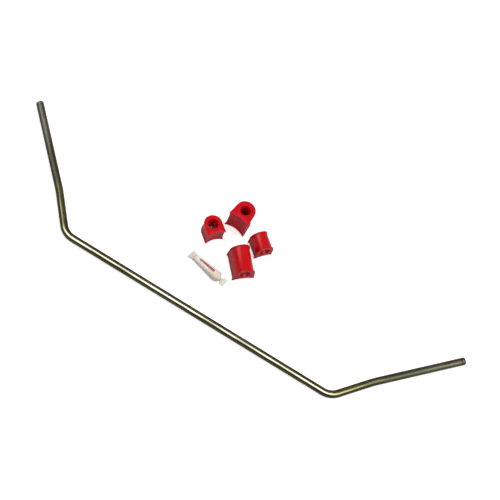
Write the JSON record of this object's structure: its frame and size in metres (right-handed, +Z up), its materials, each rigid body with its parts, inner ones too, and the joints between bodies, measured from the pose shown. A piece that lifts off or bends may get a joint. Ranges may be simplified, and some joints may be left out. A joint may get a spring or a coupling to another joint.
{
  "type": "anti-roll bar kit",
  "caption": "Bent round anti-roll bar with mirrored arms, laid out with its D-section urethane bushings and a twist-off ampoule of fitting grease.",
  "frame": {"origin": "middle of the kit's outline, on the bench the pieces lie on", "axes": "+X along the bar's straight main run, +Y the way its arms reach, +Z up from the bench"},
  "size_m": [1.2304, 0.3082, 0.069],
  "materials": {
    "zinc_steel": "bright steel with an iridescent yellow zinc passivate, olive and bronze on the arms",
    "red_urethane": "glossy moulded red urethane",
    "clear_plastic": "thin translucent blown plastic with a printed red stripe",
    "fitting_grease": "pale translucent grease"
  },
  "bodies": {
    "bar": {"sway_bar": "zinc_steel"},
    "large_standing": {"large_bushing_standing": "red_urethane"},
    "large_lying": {"large_bushing_lying": "red_urethane"},
    "small_standing": {"small_bushing_standing": "red_urethane"},
    "small_lying": {"small_bushing_lying": "red_urethane"},
    "ampoule": {"ampoule_shell": "clear_plastic", "ampoule_grease": "fitting_grease"},
    "twist_tab": {"ampoule_twist_tab": "clear_plastic"}
  },
  "joints": [
    {"name": "large_standing_lift", "type": "slide", "parent": "bar", "child": "large_standing", "axis": [0, 0, 1], "range_m": [0, 0.1]},
    {"name": "large_lying_lift", "type": "slide", "parent": "bar", "child": "large_lying", "axis": [0, 0, 1], "range_m": [0, 0.1]},
    {"name": "small_standing_lift", "type": "slide", "parent": "bar", "child": "small_standing", "axis": [0, 0, 1], "range_m": [0, 0.1]},
    {"name": "small_lying_lift", "type": "slide", "parent": "bar", "child": "small_lying", "axis": [0, 0, 1], "range_m": [0, 0.1]},
    {"name": "ampoule_lift", "type": "slide", "parent": "bar", "child": "ampoule", "axis": [0, 0, 1], "range_m": [0, 0.1]},
    {"name": "tab_twist", "type": "hinge", "parent": "ampoule", "child": "twist_tab", "pos_m": [0.00184, -0.03775, 0.0138], "axis": [0.9673, -0.2322, 0.1024], "range_deg": [-90, 90]}
  ]
}
